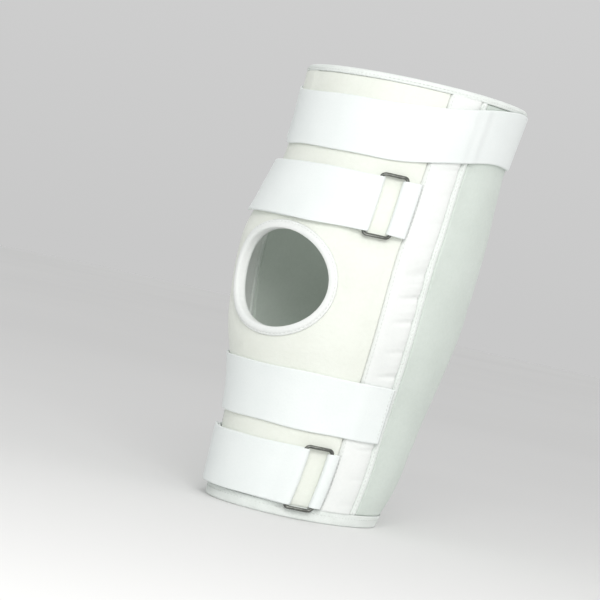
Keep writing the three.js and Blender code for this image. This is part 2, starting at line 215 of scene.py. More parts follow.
def grid_piece(name, points, chart, node, wrap_rows=False):
    """Piece from a grid of points whose rows are closed profiles."""
    faces = grid_faces(*points.shape[:2], wrap_rows=wrap_rows, wrap_columns=True)
    return make_piece(name, points, faces, chart, node)


def walled_piece(name, outer, inner, chart, node, wrap_rows=False):
    """Piece from an outer and an inner grid that meet in their first and last columns: the inner
    one is joined on backwards, without those two."""
    points = np.concatenate([outer, inner[:, -2:0:-1]], axis=1)
    chart = np.concatenate([chart, chart[:, -2:0:-1]], axis=1)
    return grid_piece(name, points, chart, node, wrap_rows)


POCKET_WIDTH = 0.030
TAPE_WIDTH = 0.007


def pocket_rear(height):
    """Rear edge of the stay pocket."""
    return pocket_front(height) + POCKET_WIDTH


def tape_rear(height):
    """Rear edge of the seam tape behind the pocket."""
    return pocket_rear(height) + TAPE_WIDTH


# Where the straps lie: the lower edge of each at the front, and how far round it reaches
STRAP_WIDTH = 0.045
STRAP_RISE = 0.017
RISE_FROM, RISE_TO = 0.15, 0.62
HOOK_LENGTH = 0.055
STRAP_REACH = {
    "thigh_strap_upper": None,
    "thigh_strap_lower": (lambda height: -pocket_rear(height), pocket_rear),
    "calf_strap_upper": (lambda height: -tape_rear(height) - HOOK_LENGTH, pocket_rear),
    "calf_strap_lower": (lambda height: -pocket_rear(height), pocket_rear),
}
STRAP_FOOT = {node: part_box(node)[0].z for node in STRAP_REACH}


def smooth_step(value, low, high):
    """0 below low, 1 above high, and 3t^2 - 2t^3 in between."""
    t = np.clip((value - low) / (high - low), 0, 1)
    return t * t * (3 - 2 * t)


def strap_rise(arc, height):
    """How far the uppermost strap has climbed: smoothly from the sides to the middle of the back."""
    turn = arc / girth(height)
    return STRAP_RISE * smooth_step(np.abs(turn - np.round(turn)) * 2, RISE_FROM, RISE_TO)


def beyond_straps(arc, height):
    """Distance to the nearest strap over the skin, and 0 under it: the longer side of a right
    triangle of the distance above or below it and the distance past its end."""
    nearest = np.full(np.broadcast(arc, height).shape, np.inf)
    signed = arc - girth(height) * np.round(arc / girth(height))
    for node, reach in STRAP_REACH.items():
        foot = STRAP_FOOT[node] + (0 if reach else strap_rise(arc, height))
        above = np.maximum(np.maximum(foot - height, height - foot - STRAP_WIDTH), 0)
        past = 0
        if reach:
            past = np.maximum(np.maximum(reach[0](height) - signed, signed - reach[1](height)), 0)
        nearest = np.minimum(nearest, np.hypot(above, past))
    return nearest


def spline_weights(places, count, wrap=False):
    """Weights of a smooth curve through a row of values: the cubic B-spline's four shares at each
    place, which is a share of the row's length, put into a matrix of places by values."""
    at = places * (count if wrap else count - 1)
    first = np.floor(at).astype(int)
    t = at - first
    parts = [(1 - t) ** 3, 3 * t**3 - 6 * t**2 + 4, -3 * t**3 + 3 * t**2 + 3 * t + 1, t**3]
    weights = np.zeros((len(places), count))
    for step, part in enumerate(parts):
        column = first + step - 1
        column = column % count if wrap else np.clip(column, 0, count - 1)
        np.add.at(weights, (np.arange(len(places)), column), part / 6)
    return weights


SWELL_FRAMES = 20
SWELL_REACH = 0.012

# The cover in the simulation. A spring's force is divided by its length, which is a few millimetres
# here, so the springs and the mass are very small for the air to lift the cloth by 1 to 3 mm.
COVER = {
    "quality": 6,
    "mass": 0.001,
    "tension_stiffness": 0.04,
    "compression_stiffness": 0.04,
    "shear_stiffness": 0.04,
    "bending_stiffness": 0.001,
    "tension_damping": 0.02,
    "compression_damping": 0.02,
    "shear_damping": 0.02,
    "bending_damping": 0.02,
    "air_damping": 0.05,
    "use_pressure": True,
    "uniform_pressure_force": 4.0,
}


def swelling(name, arc, height, free, most, wrap=False):
    """How far the cover of a pad swells out of the skin, from a cloth simulation on a coarse closed
    shell: its inner side, its border and whatever lies under a strap are pinned, and air pressure
    lifts the rest. free is 1 where the cover may move. The lift is capped at most."""
    outer, inner = skin(arc, height, 0.0), skin(arc, height, -FOAM)
    rows, columns = arc.shape
    points = np.concatenate([outer, inner[:, ::-1]], axis=1)
    mesh = new_mesh(name, points, grid_faces(rows, 2 * columns, wrap_rows=wrap, wrap_columns=True))
    face_outwards(mesh)
    cover = new_object(name, mesh)
    pin = np.ones((rows, 2 * columns))
    pin[:, :columns] = np.round(1 - free, 1)
    pins = cover.vertex_groups.new(name="pinned")
    for level in np.unique(pin):
        pins.add(np.flatnonzero(pin == level).tolist(), float(level), "REPLACE")
    cloth = cover.modifiers.new("cloth", "CLOTH")
    for setting, value in COVER.items():
        setattr(cloth.settings, setting, value)
    cloth.settings.vertex_group_mass = pins.name
    cloth.settings.effector_weights.gravity = 0
    cloth.point_cache.frame_end = SWELL_FRAMES
    for number in range(1, SWELL_FRAMES + 1):
        bpy.context.scene.frame_set(number)
    graph = bpy.context.evaluated_depsgraph_get()
    moved = np.empty(points.size, np.float32)
    cover.evaluated_get(graph).to_mesh().vertices.foreach_get("co", moved)
    moved = moved.reshape(points.shape)[:, :columns]
    outward = skin(arc, height, 1.0) - outer
    lift = ((moved - outer) * outward).sum(-1)
    bpy.data.objects.remove(cover)
    bpy.data.meshes.remove(mesh)
    bpy.context.scene.frame_set(1)
    return np.clip(lift, -most, most)


WAVE_LENGTHS = (0.11, 0.075, 0.05, 0.034)
WAVE_SUM = 0.27


def waves(arc, height, seed):
    """Slow unevenness of hand-cut foam, from -1 to 1: a sum of sine waves with seeded headings and
    starts, each as high as its share of the sum of their lengths."""
    draw = np.random.default_rng(seed)
    total = 0
    for length in WAVE_LENGTHS:
        heading, start = draw.uniform(0, np.pi), draw.uniform(0, 2 * np.pi)
        way = arc * np.cos(heading) + height * np.sin(heading)
        total = total + length * np.sin(2 * np.pi * way / length + start)
    return total / WAVE_SUM


def rounded(distance, radius):
    """Share of the full thickness at a distance from an edge: a quarter circle, then level."""
    return np.sqrt(np.maximum(0, 1 - (1 - np.clip(distance / radius, 0, 1)) ** 2))


def edge_spaced(count, margin, steps=6):
    """Shares from 0 to 1 that crowd towards both ends, where an edge of a given margin is round."""
    crowd = margin * (1 - np.cos(np.linspace(0, np.pi / 2, steps, endpoint=False)))
    middle = np.linspace(margin, 1 - margin, count)
    return np.concatenate([crowd, middle, 1 - crowd[::-1]])


PANEL_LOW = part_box("front_panel")[0].z
PANEL_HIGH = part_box("front_panel")[1].z
HOLE_HALF_WIDTH = 0.049
HOLE_SHIFT = -0.003
HOLE_LIP = 0.0016
HOLE_BAND = 0.007
hole_low, hole_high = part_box("knee_hole_binding")
HOLE_HEIGHT = (hole_low.z + hole_high.z) / 2
HOLE_HALF_HEIGHT = (hole_high.z - hole_low.z) / 2 - HOLE_BAND
ROUNDING = 0.0022


def hole_rays(count):
    """Angles of the rays from the knee hole's centre to the panel's border, with one through each
    corner, so that the border keeps its corners."""
    corners = np.array(
        [
            np.arctan2(x * pocket_front(HOLE_HEIGHT) - HOLE_SHIFT, z - HOLE_HEIGHT) % (2 * np.pi)
            for x, z in ((1, PANEL_HIGH), (1, PANEL_LOW), (-1, PANEL_LOW), (-1, PANEL_HIGH))
        ]
    )
    even = np.linspace(0, 2 * np.pi, count, endpoint=False)
    nearest = np.abs(even[None, :] - corners[:, None]).argmin(1)
    even[nearest] = corners
    return even


def around_hole(angle, beyond):
    """Distance round and height of a point of the oval that lies a distance beyond the hole's edge:
    half width and half height, each made longer by that distance, times sine and cosine."""
    across = HOLE_SHIFT + (HOLE_HALF_WIDTH + beyond) * np.sin(angle)
    return across, HOLE_HEIGHT + (HOLE_HALF_HEIGHT + beyond) * np.cos(angle)


def front_chart(rays, shares):
    """Distance round and height on the front panel: straight from the hole's oval to the border
    along each ray, at each share of the way."""
    half = pocket_front(HOLE_HEIGHT)
    up, side = np.cos(rays), np.sin(rays)
    to_top = np.where(up > 0, PANEL_HIGH - HOLE_HEIGHT, HOLE_HEIGHT - PANEL_LOW)
    to_side = np.where(side > 0, half - HOLE_SHIFT, half + HOLE_SHIFT)
    reach = 1 / np.maximum(np.abs(up) / to_top, np.abs(side) / to_side)
    border_height = HOLE_HEIGHT + reach * up
    border_arc = (HOLE_SHIFT + reach * side) / half * (pocket_front(border_height) - SEAM_GAP)
    oval_angle = np.arctan2(side * HOLE_HALF_HEIGHT, up * HOLE_HALF_WIDTH)
    start_arc, start_height = around_hole(oval_angle, HOLE_LIP + SEAM_GAP)
    arc = start_arc * (1 - shares) + border_arc * shares
    height = start_height * (1 - shares) + border_height * shares
    return arc, height


def beyond_hole(arc, height):
    """Rough distance beyond the hole's edge: how much longer than the oval's own radius the way
    from its centre is."""
    across, up = arc - HOLE_SHIFT, height - HOLE_HEIGHT
    shape = np.hypot(across / HOLE_HALF_WIDTH, up / HOLE_HALF_HEIGHT)
    return np.hypot(across, up) * (1 - 1 / np.maximum(shape, 1e-6))


def inside_panel(arc, height):
    """Distance to the panel's nearest sewn border."""
    sides = [pocket_front(height) - np.abs(arc), PANEL_HIGH - height, height - PANEL_LOW]
    return np.minimum.reduce(sides)


def free_cover(arc, height, from_border):
    """1 where a cover may swell, 0 under a strap and at its sewn border, and smooth in between."""
    free = smooth_step(beyond_straps(arc, height), 0.0, SWELL_REACH)
    return free * smooth_step(from_border, 0.0, SWELL_REACH)


FRONT_SWELL = 0.0026
SWELL_BEYOND_HOLE = 0.014
SWELL_RAYS, SWELL_SHARES = 128, 22
coarse_rays = np.linspace(0, 2 * np.pi, SWELL_RAYS, endpoint=False)[:, None]
coarse_shares = np.linspace(0, 1, SWELL_SHARES)[None, :]
coarse_arc, coarse_height = front_chart(coarse_rays, coarse_shares)
front_free = free_cover(coarse_arc, coarse_height, inside_panel(coarse_arc, coarse_height))
from_hole = beyond_hole(coarse_arc, coarse_height)
front_free = front_free * smooth_step(from_hole, HOLE_BAND, SWELL_BEYOND_HOLE)
front_lift = swelling("front_cover", coarse_arc, coarse_height, front_free, FRONT_SWELL, wrap=True)

FRONT_RAYS, FRONT_SHARES, FRONT_MARGIN = 320, 44, 0.035
rays = hole_rays(FRONT_RAYS)
shares = edge_spaced(FRONT_SHARES, FRONT_MARGIN)
front_arc, front_height = front_chart(rays[:, None], shares[None, :])
ray_weights = spline_weights(rays / (2 * np.pi), SWELL_RAYS, wrap=True)
front_swell = ray_weights @ front_lift @ spline_weights(shares, SWELL_SHARES).T
LAP_FROM, LAP_TO, LAP_FOOT = -0.067, -0.037, 0.331
LAP_RAISE, LAP_SLOPE = 0.0008, 0.001


def rim_lap(arc, height):
    """Cloth that is lapped under the upper rim on the left: a flat step, one cloth high."""
    across = smooth_step(arc, LAP_FROM - LAP_SLOPE, LAP_FROM + LAP_SLOPE)
    across = across * (1 - smooth_step(arc, LAP_TO - LAP_SLOPE, LAP_TO + LAP_SLOPE))
    return LAP_RAISE * across * smooth_step(height, LAP_FOOT, LAP_FOOT + 2 * LAP_SLOPE)


HOLE_ROUNDING = 0.002
FRONT_UNEVENNESS, FRONT_SEED = 0.0003, 3
EVEN_TO, UNEVEN_FROM = 0.007, 0.02
hole_distance = beyond_hole(front_arc, front_height)
half_wall = FOAM / 2 * rounded(inside_panel(front_arc, front_height), ROUNDING)
half_wall = half_wall * rounded(hole_distance - HOLE_LIP, HOLE_ROUNDING)
half_wall[:, [0, -1]] = 0
uneven = FRONT_UNEVENNESS * waves(front_arc, front_height, FRONT_SEED)
face_out = front_swell + rim_lap(front_arc, front_height)
face_out = face_out + uneven * smooth_step(hole_distance, EVEN_TO, UNEVEN_FROM)
outside = skin(front_arc, front_height, face_out / 2 - FOAM / 2 + half_wall * (1 + face_out / FOAM))
inside = skin(front_arc, front_height, -FOAM / 2 - half_wall)
inside[:, [0, -1]] = outside[:, [0, -1]]
front_map = np.stack([front_arc, front_height], -1)
front_panel = walled_piece(
    "front_panel_foam", outside, inside, front_map, "front_panel", wrap_rows=True
)


def shader(name):
    """New material, with its node tree and its Principled shader."""
    material = bpy.data.materials.new(name)
    material.use_nodes = True
    return material, material.node_tree, material.node_tree.nodes["Principled BSDF"]


def feed(tree, node, inputs):
    """Feeds the inputs of a node: each is linked to a socket or set to a value."""
    for label, value in inputs.items():
        if isinstance(value, bpy.types.NodeSocket):
            tree.links.new(value, node.inputs[label])
        else:
            node.inputs[label].default_value = value


def add_node(tree, kind, inputs, **settings):
    """Shader node of a kind, with its settings made and its inputs fed."""
    node = tree.nodes.new(f"ShaderNode{kind}")
    for label, value in settings.items():
        setattr(node, label, value)
    feed(tree, node, inputs)
    return node


def new_group(name, inputs, outputs):
    """Shader node group with named sockets: inputs as (name, kind, value), outputs as (name, kind)."""
    tree = bpy.data.node_groups.new(name, "ShaderNodeTree")
    for label, kind, value in inputs:
        socket = tree.interface.new_socket(label, in_out="INPUT", socket_type=f"NodeSocket{kind}")
        if value is not None:
            socket.default_value = value
    for label, kind in outputs:
        tree.interface.new_socket(label, in_out="OUTPUT", socket_type=f"NodeSocket{kind}")
    return tree, tree.nodes.new("NodeGroupInput"), tree.nodes.new("NodeGroupOutput")


def arithmetic(tree, operation, first, second=0.0):
    """Math node; each side is a socket or a number."""
    return add_node(tree, "Math", {0: first, 1: second}, operation=operation).outputs[0]


def weighted(tree, first, first_share, second, second_share):
    """Sum of two sockets, each times its share."""
    first = arithmetic(tree, "MULTIPLY", first, first_share)
    return arithmetic(tree, "ADD", first, arithmetic(tree, "MULTIPLY", second, second_share))


def noise(tree, vector, scale, detail, roughness):
    """Noise texture over a vector, at a scale that is a socket or a number."""
    inputs = {"Vector": vector, "Scale": scale, "Detail": detail, "Roughness": roughness}
    return add_node(tree, "TexNoise", inputs).outputs["Fac"]


def brushed_pile_group():
    """Brushed cloth: fine upright pile, clumped into tufts, over a slow unevenness. Height drives a
    bump. Shaded Tone is a mask from 0 in the hollows to 1 on the tips: half the pile's height, which
    paints shade into the hollows, and half the slow unevenness."""
    tree, given, result = new_group(
        "brushed_pile",
        [("Vector", "Vector", None), ("Fineness", "Float", 1400.0), ("Tufts", "Float", 320.0)],
        [("Height", "Float"), ("Shaded Tone", "Float")],
    )
    vector = given.outputs["Vector"]
    fine = noise(tree, vector, given.outputs["Fineness"], 4.0, 0.65)
    tufts = noise(tree, vector, given.outputs["Tufts"], 2.0, 0.55)
    slow = noise(tree, vector, 26.0, 3.0, 0.5)
    piled = weighted(tree, fine, 0.45, tufts, 0.55)
    # Half the tone follows the pile's height, so the hollows between tufts get painted shade
    feed(tree, result, {"Height": piled, "Shaded Tone": weighted(tree, piled, 0.5, slow, 0.5)})
    return tree


BRUSHED_PILE = brushed_pile_group()
TONE_LOW, TONE_HIGH = 0.3, 0.7


def mix_colours(tree, tone, dark, light):
    """Colour between two by a tone, which is stretched from its usual range to 0 to 1 first."""
    stretched = {"Value": tone, "From Min": TONE_LOW, "From Max": TONE_HIGH}
    mask = add_node(tree, "MapRange", stretched).outputs["Result"]
    inputs = {"Factor": mask, "A": (*dark, 1), "B": (*light, 1)}
    return add_node(tree, "Mix", inputs, data_type="RGBA").outputs["Result"]


def cloth_material(name, group, pattern, dark, light, depth, finish):
    """Cloth over the cloth map: the group's tone gives the colour, with painted shade in its hollows,
    and its height a bump. pattern holds the group's own values and finish the shader's."""
    material, tree, surface = shader(name)
    chart = add_node(tree, "UVMap", {}, uv_map="cloth_map").outputs["UV"]
    weave = add_node(tree, "Group", {"Vector": chart, **pattern}, node_tree=group)
    colour = mix_colours(tree, weave.outputs["Shaded Tone"], dark, light)
    bump = add_node(tree, "Bump", {"Height": weave.outputs["Height"], "Distance": depth})
    feed(tree, surface, {"Base Color": colour, "Normal": bump.outputs["Normal"], **finish})
    return material


def brushed_cloth(name, dark, light, fineness, tufts, depth, sheen=0.25):
    """Brushed cloth on foam: pile in tufts, with a soft sheen."""
    pattern = {"Fineness": fineness, "Tufts": tufts}
    finish = {"Roughness": 0.95, "Specular IOR Level": 0.2, "Sheen Weight": sheen, "Sheen Roughness": 0.5}
    return cloth_material(name, BRUSHED_PILE, pattern, dark, light, depth, finish)


IVORY_DARK = (0.85, 0.875, 0.80)
IVORY_LIGHT = (0.92, 0.945, 0.88)
front_panel.data.materials.append(
    brushed_cloth("ivory_brushed_cloth", IVORY_DARK, IVORY_LIGHT, 1500.0, 300.0, 0.0005)
)


# Back panel. The same foam and cloth, in one piece from one rear seam round the calf and thigh to the
# other, with a cooler cloth outside whose colour also holds painted shade. It is sewn under the seam
# tapes and into the rim tapes.
def padded_wall(name, start, end, grid, face, node):
    """Foam wall between two lines that run up the sleeve, start(height) and end(height), as high as
    the panels: a grid for the outer side, face(arc, height) out of the skin, and one for the inner
    side, one foam inside the skin. The thickness closes at the four edges as a quarter circle does.
    grid holds the columns, the rows, and the share at each side and end that is stepped finely."""
    columns, rows, margin_across, margin_up = grid
    across = edge_spaced(columns, margin_across)[None, :]
    height = (PANEL_LOW + (PANEL_HIGH - PANEL_LOW) * edge_spaced(rows, margin_up))[:, None]
    arc = start(height) * (1 - across) + end(height) * across
    arc, height = np.broadcast_arrays(arc, height)
    width = end(height) - start(height)
    edge = rounded(np.minimum(across, 1 - across) * width, ROUNDING)
    edge = edge * rounded(np.minimum(height - PANEL_LOW, PANEL_HIGH - height), ROUNDING)
    edge[:, [0, -1]] = 0
    edge[[0, -1], :] = 0
    outer_face = face(arc, height)
    middle, half = (outer_face - FOAM) / 2, (outer_face + FOAM) / 2 * edge
    outer, inner = skin(arc, height, middle + half), skin(arc, height, middle - half)
    return walled_piece(name, outer, inner, np.stack([arc, height], -1), node)


BACK_SWELL = 0.0032
BACK_UNEVENNESS, BACK_SEED = 0.0004, 11
BACK_GRID = (120, 120, 0.01, 0.01)
SWELL_COLUMNS, SWELL_ROWS = 72, 72


def back_edges(height):
    """Distances round of the two edges of the back panel, from the right seam to the left one."""
    edge = tape_rear(height) + SEAM_GAP
    return edge, girth(height) - edge


coarse_height = np.linspace(PANEL_LOW, PANEL_HIGH, SWELL_ROWS)[:, None]
coarse_across = np.linspace(0, 1, SWELL_COLUMNS)[None, :]
back_from, back_to = back_edges(coarse_height)
coarse_arc = back_from + (back_to - back_from) * coarse_across
coarse_height = np.broadcast_to(coarse_height, coarse_arc.shape)
seam_distance = np.minimum(coarse_arc - back_from, back_to - coarse_arc)
rim_distance = np.minimum(coarse_height - PANEL_LOW, PANEL_HIGH - coarse_height)
back_free = free_cover(coarse_arc, coarse_height, np.minimum(seam_distance, rim_distance))
back_lift = swelling("back_cover", coarse_arc, coarse_height, back_free, BACK_SWELL)


# Creases behind the knee: height and slope of each, its depth, its half width, and the middle and the
# half length of its stretch as shares of the way round the panel
CREASES = [
    (0.226, 0.05, 0.0010, 0.0042, 0.44, 0.26),
    (0.208, -0.04, 0.0014, 0.0050, 0.57, 0.34),
    (0.191, 0.03, 0.0012, 0.0046, 0.40, 0.30),
    (0.171, -0.06, 0.0009, 0.0050, 0.62, 0.22),
    (0.278, 0.08, 0.0007, 0.0060, 0.70, 0.18),
    (0.060, -0.07, 0.0008, 0.0060, 0.30, 0.20),
]
SLOPE_SHARE = 0.3
CREASE_BOW, CREASE_BEND = 0.003, 2.5


def bell(distance, width):
    """Bell curve: 1 at distance 0, and e to the power minus the square of distance over width."""
    return np.exp(-((distance / width) ** 2))


def creases(across, arc, height):
    """Depth of the foam's folds: each is a bell curve across its line, a little S-shaped, and fades
    as a squared cosine towards both ends."""
    total = 0
    for level, slope, depth, width, middle, reach in CREASES:
        way = np.clip((across - middle) / reach, -1, 1)
        line = level + slope * (arc - arc.mean()) * SLOPE_SHARE + CREASE_BOW * np.sin(CREASE_BEND * way)
        total = total + depth * bell(height - line, width) * np.cos(way * np.pi / 2) ** 2
    return total


def back_face(arc, height):
    """The simulated swelling, read by a smooth curve both ways, and a slow unevenness, less the
    creases."""
    start, end = back_edges(height)
    across = (arc - start) / (end - start)
    up = ((height - PANEL_LOW) / (PANEL_HIGH - PANEL_LOW))[:, 0]
    swell = spline_weights(up, SWELL_ROWS) @ back_lift @ spline_weights(across[0], SWELL_COLUMNS).T
    return swell + BACK_UNEVENNESS * waves(arc, height, BACK_SEED) - creases(across, arc, height)


back_panel = padded_wall(
    "back_panel_foam", lambda height: back_edges(height)[0], lambda height: back_edges(height)[1],
    BACK_GRID, back_face, "back_panel",
)
# Cool white cloth, darkened further as painted shade for the side that is turned away from the lamps
BACK_SHADED_DARK = (0.65, 0.715, 0.66)
BACK_SHADED_LIGHT = (0.745, 0.805, 0.755)
back_panel.data.materials.append(
    brushed_cloth("cool_brushed_cloth_painted_shade", BACK_SHADED_DARK, BACK_SHADED_LIGHT, 1500.0, 300.0, 0.0005)
)


# Stay pockets. A strip of the brushed cloth over a stiff stay, sewn down along both edges. The cloth
# is gathered onto the rear seam, so it puckers there at every gathering stitch.
POCKET_RAISE = 0.0026
POCKET_EDGE = 0.0008
POCKET_GRID = (18, 330, 0.08, 0.008)
HEM_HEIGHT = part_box("hem")[1].z
PUCKER_PITCH = 0.021
FIRST_PUCKER = HEM_HEIGHT + PUCKER_PITCH / 2
PUCKER_LEAN = 0.005
PUCKER_DEPTH = 0.0023
PUCKER_SWELL = 0.0007
PUCKER_FROM, PUCKER_TO = 0.12, 0.9
PUCKER_AT_EDGE = 0.3
PUCKER_UNDER_STRAP, STRAP_REACHES = 0.25, 0.008


def pocket_face(arc, height):
    """Crowned strip: the sides rise as a fourth power from the sewn edges to the stay's flat. At
    each gathering stitch a soft fold deepens towards the rear seam and leans a little, and the
    cloth swells between the folds. Their spacing wanders by two sines and their depth varies by
    one. Under a strap the folds are pressed flat."""
    across = (np.abs(arc) - pocket_front(height)) / POCKET_WIDTH
    crown = 1 - np.abs(2 * np.clip(across, 0, 1) - 1) ** 4
    phase = (height - FIRST_PUCKER + PUCKER_LEAN * (1 - across)) / PUCKER_PITCH
    wander = 0.07 * np.sin(phase * 2.4) + 0.05 * np.sin(phase * 5.1 + 1)
    strength = 0.75 + 0.25 * np.sin(phase * 1.7 + 0.6)
    beat = np.cos(2 * np.pi * (phase + wander))
    fold = PUCKER_DEPTH * np.maximum(beat, 0) ** 3 - PUCKER_SWELL * np.maximum(-beat, 0) ** 2
    rear = smooth_step(across, PUCKER_FROM, PUCKER_TO)
    open_share = smooth_step(beyond_straps(arc, height), 0.0, STRAP_REACHES)
    open_share = PUCKER_UNDER_STRAP + (1 - PUCKER_UNDER_STRAP) * open_share
    dent = rear * strength * fold * open_share * (PUCKER_AT_EDGE + (1 - PUCKER_AT_EDGE) * crown)
    return POCKET_EDGE + (POCKET_RAISE - POCKET_EDGE) * crown - dent


def both_sides(front, rear):
    """Front and rear lines of a strip on the right, and those of its mirror image on the left, from
    the rear line to the front one, because distances round are below zero there."""
    mirror_image = (lambda height: -rear(height), lambda height: -front(height))
    return {"right": (front, rear), "left": mirror_image}.items()


POCKET_WHITE_DARK = (0.86, 0.885, 0.865)
POCKET_WHITE_LIGHT = (0.94, 0.955, 0.94)
pocket_cloth = brushed_cloth(
    "white_brushed_cloth", POCKET_WHITE_DARK, POCKET_WHITE_LIGHT, 1500.0, 320.0, 0.0004
)
for side, (start, end) in both_sides(pocket_front, pocket_rear):
    node = f"stay_pocket_{side}"
    pocket = padded_wall(f"{node}_cloth", start, end, POCKET_GRID, pocket_face, node)
    pocket.data.materials.append(pocket_cloth)


# Rim and seam tapes. Narrow ribbed tape, folded over the raw edges and stitched through: the hem and
# the upper rim, and a flat one down each rear seam, between the pocket and the back panel.
def ribbed_tape_group():
    """Woven tape: ribs across its length and finer threads along it. Height drives a bump and Shaded
    Tone is a mask from 0 between the ribs to 1 on them, which paints shade between the ribs, over a
    slow random tone."""
    tree, given, result = new_group(
        "ribbed_tape",
        [("Vector", "Vector", None), ("Rib Pitch", "Float", 0.0011), ("Along", "Vector", (1, 0, 0))],
        [("Height", "Float"), ("Shaded Tone", "Float")],
    )
    vector = given.outputs["Vector"]
    sides = {0: vector, 1: given.outputs["Along"]}
    along = add_node(tree, "VectorMath", sides, operation="DOT_PRODUCT").outputs["Value"]
    turn = arithmetic(tree, "DIVIDE", along, given.outputs["Rib Pitch"])
    rib = arithmetic(tree, "SINE", arithmetic(tree, "MULTIPLY", turn, 2 * math.pi))
    fine = noise(tree, vector, 1800.0, 3.0, 0.6)
    slow = noise(tree, vector, 60.0, 3.0, 0.5)
    # The tone takes a share of the ribs, which paints shade into the gaps between them
    height, tone = weighted(tree, rib, 0.3, fine, 1.0), weighted(tree, rib, 0.15, slow, 1.0)
    feed(tree, result, {"Height": height, "Shaded Tone": tone})
    return tree


RIBBED_TAPE = ribbed_tape_group()
TAPE_DARK = (0.84, 0.885, 0.85)
TAPE_LIGHT = (0.92, 0.955, 0.93)


def woven_tape(name, along):
    """Woven tape whose ribs lie across a direction of the cloth map."""
    pattern = {"Rib Pitch": 0.0012, "Along": along}
    finish = {"Roughness": 0.85, "Specular IOR Level": 0.25, "Sheen Weight": 0.15}
    return cloth_material(name, RIBBED_TAPE, pattern, TAPE_DARK, TAPE_LIGHT, 0.0002, finish)


rim_tape = woven_tape("rim_tape_weave", (1, 0, 0))
seam_tape = woven_tape("seam_tape_weave", (0, 1, 0))
TAPE_RAISE = 0.0014
TAPE_ROWS = (0.28, 0.75)
GROOVE_DEPTH, GROOVE_WIDTH = 0.0004, 0.08
TAPE_GRID = (14, 160, 0.2, 0.008)


def tape_face(arc, height):
    """Flat tape with a groove, a bell curve across, where each row of stitches draws it in."""
    across = (np.abs(arc) - pocket_rear(height)) / TAPE_WIDTH
    groove = sum(bell(across - row, GROOVE_WIDTH) for row in TAPE_ROWS)
    return TAPE_RAISE - GROOVE_DEPTH * groove


for side, (start, end) in both_sides(lambda height: pocket_rear(height) + SEAM_GAP, tape_rear):
    node = f"seam_tape_{side}"
    tape = padded_wall(f"{node}_weave", start, end, TAPE_GRID, tape_face, node)
    tape.data.materials.append(seam_tape)

RIM_STEPS = 421
RIM_PUCKER, RIM_PUCKERS = 0.00018, 150
RIM_WAVE, RIM_WAVES, OFF_FLOOR = 0.0003, 5, 0.002
RIM_LIP = 0.0012
LIP_UNDERSIDE = 0.00005


def rim_piece(name, profile, node):
    """Tape folded over a rim: a closed profile of (out, height) carried once round the sleeve. Its
    outside is drawn in at the stitches by a cosine, and it waves slowly by a sine off the floor."""
    turn = np.linspace(0.5, 1.5, RIM_STEPS)[:, None]
    out, height = profile[None, :, 0], profile[None, :, 1]
    arc = turn * girth(height)
    pucker = RIM_PUCKER * np.cos(2 * np.pi * turn * RIM_PUCKERS) * (out > -FOAM / 2)
    wave = RIM_WAVE * np.sin(2 * np.pi * turn * RIM_WAVES + 1) * (height > OFF_FLOOR)
    points = skin(arc, height, out + pucker + wave)
    chart = np.stack(np.broadcast_arrays(arc, height), -1)
    piece = grid_piece(name, points, chart, node)
    piece.data.materials.append(rim_tape)


def folded_profile(base, tip, roundness):
    """Closed profile of a tape folded over an edge: a thin lip that lies on the cloth, up the
    outside from base, round the tip as a superellipse, and down the inside."""
    inner, outer = -FOAM - HEM_RAISE, HEM_RAISE
    half, centre = (outer - inner) / 2, (outer + inner) / 2
    rise = tip - base
    bend = min(half, abs(rise)) * 0.9
    angle = np.linspace(0, np.pi, 25)
    turn = np.sign(np.cos(angle)) * np.abs(np.cos(angle)) ** roundness
    lift = np.sin(angle) ** roundness
    tip_curve = np.stack([centre + half * turn, tip - np.sign(rise) * bend * (1 - lift)], -1)
    side = np.linspace(0.1, 0.9, 4)[:, None]
    up = np.array([[outer, base]]) * (1 - side) + tip_curve[:1] * side
    down = tip_curve[-1:] * (1 - side) + np.array([[inner, base]]) * side
    lip = base - np.sign(rise) * RIM_LIP
    mouth = [[inner, base], [centre, base], [LIP_UNDERSIDE, base], [LIP_UNDERSIDE, lip], [outer, lip]]
    return np.concatenate([mouth, [[outer, base]], up, tip_curve, down])


HEM_ROUNDNESS, TOP_ROUNDNESS = 0.45, 0.8
rim_piece("hem_tape", folded_profile(HEM_HEIGHT, 0.0, HEM_ROUNDNESS), "hem")
top_low, top_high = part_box("top_binding")
rim_piece("top_binding_tape", folded_profile(top_low.z, top_high.z, TOP_ROUNDNESS), "top_binding")


# Knee hole binding. A strip of the white cloth folded round the cut edge of the hole, padded by the
# foam under it, and sewn down by one row of long stitches near its outer edge.
HOLE_RAISE = 0.0022
LAY = 0.0005
STITCH_ROW, STITCH_DIP, DIP_WIDTH = 0.74, 0.0006, 0.07
HOLE_STEPS = 301
HOLE_RIPPLE, HOLE_RIPPLES, RIPPLE_WIDTH = 0.00022, 76, 0.2


def band_crown(across):
    """Height of the raised band at a share of its width: half a sine wave to the power 0.55, which
    makes it steep at the sides and nearly flat on top, and which is cut short at the hole."""
    return HOLE_RAISE * np.sin(np.pi * np.clip(across * 0.93 + 0.07, 0, 1)) ** 0.55


def hole_profile():
    """Closed profile, as (distance beyond the hole's edge, distance out of the skin): outwards over
    the raised band, which dips at the stitch row, back under it, down the lip and up the wall."""
    band = np.linspace(0, 1, 22)
    dip = STITCH_DIP * bell(band - STITCH_ROW, DIP_WIDTH)
    over = np.stack([band * HOLE_BAND, LAY + band_crown(band) - dip], -1)
    under = [(HOLE_BAND * 0.97, LAY), (HOLE_BAND * 0.6, LAY), (HOLE_LIP, LAY), (HOLE_LIP, -0.002)]
    foot = [(HOLE_LIP, -FOAM), (HOLE_LIP / 2, -FOAM - 0.0003), (0.0, -FOAM)]
    wall = [(0.0, -0.004), (-0.0002, -0.002), (-0.0002, -0.0005)]
    return np.concatenate([over, under, foot, wall])


